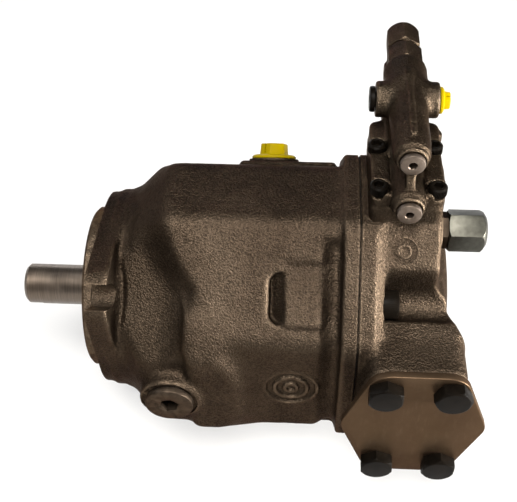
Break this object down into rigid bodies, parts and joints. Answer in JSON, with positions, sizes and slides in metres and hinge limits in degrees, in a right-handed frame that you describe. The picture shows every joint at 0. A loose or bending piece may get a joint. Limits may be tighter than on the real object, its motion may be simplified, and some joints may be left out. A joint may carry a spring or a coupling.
{
  "type": "axial piston pump",
  "caption": "Swash plate axial piston pump with an octagonal cast housing, a two-ear mounting flange, a keyed shaft, side ports under bolted covers and a spool control valve on top.",
  "frame": {"origin": "centre of the mounting flange's face, on the drive shaft's axis, inside the centring spigot", "axes": "+X along the shaft to the rear, so the shaft's free end points to -X; +Z to the control valve; -Y to the suction port's cover"},
  "size_m": [0.2803, 0.2002, 0.229],
  "materials": {
    "cast_iron": "sand-cast iron under dark brown-grey paint, fine grain, lighter rubbed edges",
    "valve_iron": "finer cast iron under dark brown-grey paint",
    "painted_steel": "flat steel plate under satin brown paint",
    "black_steel": "black oxide fasteners, satin",
    "steel": "machined steel",
    "zinc": "zinc plated, dull",
    "bronze": "machined bronze",
    "spring_steel": "drawn wire",
    "yellow_plastic": "moulded polyethylene, soft gloss",
    "rubber": "moulded nitrile rubber"
  },
  "bodies": {
    "casing": {"housing": "cast_iron", "port_plate": "cast_iron", "body_bolt_1": "black_steel", "body_bolt_2": "black_steel", "body_bolt_3": "black_steel", "body_bolt_4": "black_steel", "suction_cover": "painted_steel", "suction_cover_bolt_1": "black_steel", "suction_cover_bolt_2": "black_steel", "suction_cover_bolt_3": "black_steel", "suction_cover_bolt_4": "black_steel", "pressure_cover": "painted_steel", "drain_plug": "steel", "leakage_port_plug": "yellow_plastic", "stroke_stop_screw": "steel", "stroke_stop_cap_nut": "zinc", "shaft_seal": "rubber", "front_bearing": "steel", "rear_bearing": "steel", "valve_plate": "bronze", "cradle_bearing_left": "steel", "cradle_bearing_right": "steel", "return_spring": "spring_steel", "valve_body": "valve_iron", "flow_spool_plug": "steel", "pressure_spool_plug": "steel", "flow_spring": "spring_steel", "pressure_spring": "spring_steel", "pilot_port_plug": "yellow_plastic", "side_port_plug": "black_steel"},
    "rotating_group": {"drive_shaft": "steel", "shaft_key": "steel", "cylinder_block": "steel", "guide_ball": "steel"},
    "retaining_plate": {"retaining_plate": "steel"},
    "swash_plate": {"swash_plate": "steel"},
    "control_piston": {"control_piston": "steel"},
    "return_piston": {"return_piston": "steel"},
    "piston_1": {"piston_1": "steel"},
    "slipper_1": {"slipper_1": "bronze"},
    "piston_2": {"piston_2": "steel"},
    "slipper_2": {"slipper_2": "bronze"},
    "piston_3": {"piston_3": "steel"},
    "slipper_3": {"slipper_3": "bronze"},
    "piston_4": {"piston_4": "steel"},
    "slipper_4": {"slipper_4": "bronze"},
    "piston_5": {"piston_5": "steel"},
    "slipper_5": {"slipper_5": "bronze"},
    "piston_6": {"piston_6": "steel"},
    "slipper_6": {"slipper_6": "bronze"},
    "piston_7": {"piston_7": "steel"},
    "slipper_7": {"slipper_7": "bronze"},
    "piston_8": {"piston_8": "steel"},
    "slipper_8": {"slipper_8": "bronze"},
    "piston_9": {"piston_9": "steel"},
    "slipper_9": {"slipper_9": "bronze"},
    "flow_spool": {"flow_spool": "steel"},
    "flow_adjuster": {"flow_adjuster": "valve_iron"},
    "pressure_spool": {"pressure_spool": "steel"},
    "pressure_adjuster": {"pressure_adjuster": "valve_iron"}
  },
  "joints": [
    {"name": "shaft_spin", "type": "hinge", "parent": "casing", "child": "rotating_group", "pos_m": [0, 0, 0], "axis": [1, 0, 0], "range_deg": [-360, 360]},
    {"name": "swash_tilt", "type": "hinge", "parent": "casing", "child": "swash_plate", "pos_m": [0.072, 0, 0], "axis": [0, 1, 0], "range_deg": [0, 18]},
    {"name": "control_piston_slide", "type": "slide", "parent": "casing", "child": "control_piston", "axis": [1, 0, 0], "range_m": [0, 0.0193]},
    {"name": "return_piston_slide", "type": "slide", "parent": "casing", "child": "return_piston", "axis": [1, 0, 0], "range_m": [-0.0193, 0], "deforming": ["return_spring"]},
    {"name": "retaining_plate_tilt", "type": "hinge", "parent": "rotating_group", "child": "retaining_plate", "pos_m": [0.072, 0, 0], "axis": [0, 1, 0], "range_deg": [0, 18]},
    {"name": "piston_1_stroke", "type": "slide", "parent": "rotating_group", "child": "piston_1", "axis": [1, 0, 0], "range_m": [0, 0.01073]},
    {"name": "slipper_1_swivel", "type": "hinge", "parent": "piston_1", "child": "slipper_1", "pos_m": [0.072, 0, 0.033], "axis": [0, 1, 0], "range_deg": [0, 18]},
    {"name": "piston_2_stroke", "type": "slide", "parent": "rotating_group", "child": "piston_2", "axis": [1, 0, 0], "range_m": [0, 0.00822]},
    {"name": "slipper_2_swivel", "type": "hinge", "parent": "piston_2", "child": "slipper_2", "pos_m": [0.072, 0.02121, 0.02528], "axis": [0, 1, 0], "range_deg": [0, 18]},
    {"name": "piston_3_stroke", "type": "slide", "parent": "rotating_group", "child": "piston_3", "axis": [1, 0, 0], "range_m": [0, 0.00187]},
    {"name": "slipper_3_swivel", "type": "hinge", "parent": "piston_3", "child": "slipper_3", "pos_m": [0.072, 0.0325, 0.00573], "axis": [0, 1, 0], "range_deg": [0, 18]},
    {"name": "piston_4_stroke", "type": "slide", "parent": "rotating_group", "child": "piston_4", "axis": [1, 0, 0], "range_m": [-0.00537, 0]},
    {"name": "slipper_4_swivel", "type": "hinge", "parent": "piston_4", "child": "slipper_4", "pos_m": [0.072, 0.02858, -0.0165], "axis": [0, 1, 0], "range_deg": [0, 18]},
    {"name": "piston_5_stroke", "type": "slide", "parent": "rotating_group", "child": "piston_5", "axis": [1, 0, 0], "range_m": [-0.01009, 0]},
    {"name": "slipper_5_swivel", "type": "hinge", "parent": "piston_5", "child": "slipper_5", "pos_m": [0.072, 0.01129, -0.03101], "axis": [0, 1, 0], "range_deg": [0, 18]},
    {"name": "piston_6_stroke", "type": "slide", "parent": "rotating_group", "child": "piston_6", "axis": [1, 0, 0], "range_m": [-0.01009, 0]},
    {"name": "slipper_6_swivel", "type": "hinge", "parent": "piston_6", "child": "slipper_6", "pos_m": [0.072, -0.01129, -0.03101], "axis": [0, 1, 0], "range_deg": [0, 18]},
    {"name": "piston_7_stroke", "type": "slide", "parent": "rotating_group", "child": "piston_7", "axis": [1, 0, 0], "range_m": [-0.00537, 0]},
    {"name": "slipper_7_swivel", "type": "hinge", "parent": "piston_7", "child": "slipper_7", "pos_m": [0.072, -0.02858, -0.0165], "axis": [0, 1, 0], "range_deg": [0, 18]},
    {"name": "piston_8_stroke", "type": "slide", "parent": "rotating_group", "child": "piston_8", "axis": [1, 0, 0], "range_m": [0, 0.00187]},
    {"name": "slipper_8_swivel", "type": "hinge", "parent": "piston_8", "child": "slipper_8", "pos_m": [0.072, -0.0325, 0.00573], "axis": [0, 1, 0], "range_deg": [0, 18]},
    {"name": "piston_9_stroke", "type": "slide", "parent": "rotating_group", "child": "piston_9", "axis": [1, 0, 0], "range_m": [0, 0.00822]},
    {"name": "slipper_9_swivel", "type": "hinge", "parent": "piston_9", "child": "slipper_9", "pos_m": [0.072, -0.02121, 0.02528], "axis": [0, 1, 0], "range_deg": [0, 18]},
    {"name": "flow_spool_slide", "type": "slide", "parent": "casing", "child": "flow_spool", "axis": [0, 1, 0], "range_m": [0, 0.003], "stiffness_N_per_m": 1500, "springref_m": -0.002, "deforming": ["flow_spring"]},
    {"name": "flow_adjuster_turn", "type": "hinge", "parent": "casing", "child": "flow_adjuster", "pos_m": [0.175, 0, 0.106], "axis": [0, 1, 0], "range_deg": [-360, 360]},
    {"name": "pressure_spool_slide", "type": "slide", "parent": "casing", "child": "pressure_spool", "axis": [0, 1, 0], "range_m": [0, 0.003], "stiffness_N_per_m": 1500, "springref_m": -0.002, "deforming": ["pressure_spring"]},
    {"name": "pressure_adjuster_turn", "type": "hinge", "parent": "casing", "child": "pressure_adjuster", "pos_m": [0.175, 0, 0.13], "axis": [0, 1, 0], "range_deg": [-360, 360]}
  ],
  "couplings": [
    {"joint": "control_piston_slide", "follows": "swash_tilt", "m_per_rad": 0.0609},
    {"joint": "return_piston_slide", "follows": "swash_tilt", "m_per_rad": -0.0609},
    {"joint": "retaining_plate_tilt", "follows": "swash_tilt", "ratio": 1},
    {"joint": "piston_1_stroke", "follows": "swash_tilt", "m_per_rad": 0.03413},
    {"joint": "slipper_1_swivel", "follows": "swash_tilt", "ratio": 1},
    {"joint": "piston_2_stroke", "follows": "swash_tilt", "m_per_rad": 0.026145},
    {"joint": "slipper_2_swivel", "follows": "swash_tilt", "ratio": 1},
    {"joint": "piston_3_stroke", "follows": "swash_tilt", "m_per_rad": 0.005927},
    {"joint": "slipper_3_swivel", "follows": "swash_tilt", "ratio": 1},
    {"joint": "piston_4_stroke", "follows": "swash_tilt", "m_per_rad": -0.017065},
    {"joint": "slipper_4_swivel", "follows": "swash_tilt", "ratio": 1},
    {"joint": "piston_5_stroke", "follows": "swash_tilt", "m_per_rad": -0.032072},
    {"joint": "slipper_5_swivel", "follows": "swash_tilt", "ratio": 1},
    {"joint": "piston_6_stroke", "follows": "swash_tilt", "m_per_rad": -0.032072},
    {"joint": "slipper_6_swivel", "follows": "swash_tilt", "ratio": 1},
    {"joint": "piston_7_stroke", "follows": "swash_tilt", "m_per_rad": -0.017065},
    {"joint": "slipper_7_swivel", "follows": "swash_tilt", "ratio": 1},
    {"joint": "piston_8_stroke", "follows": "swash_tilt", "m_per_rad": 0.005927},
    {"joint": "slipper_8_swivel", "follows": "swash_tilt", "ratio": 1},
    {"joint": "piston_9_stroke", "follows": "swash_tilt", "m_per_rad": 0.026145},
    {"joint": "slipper_9_swivel", "follows": "swash_tilt", "ratio": 1}
  ]
}
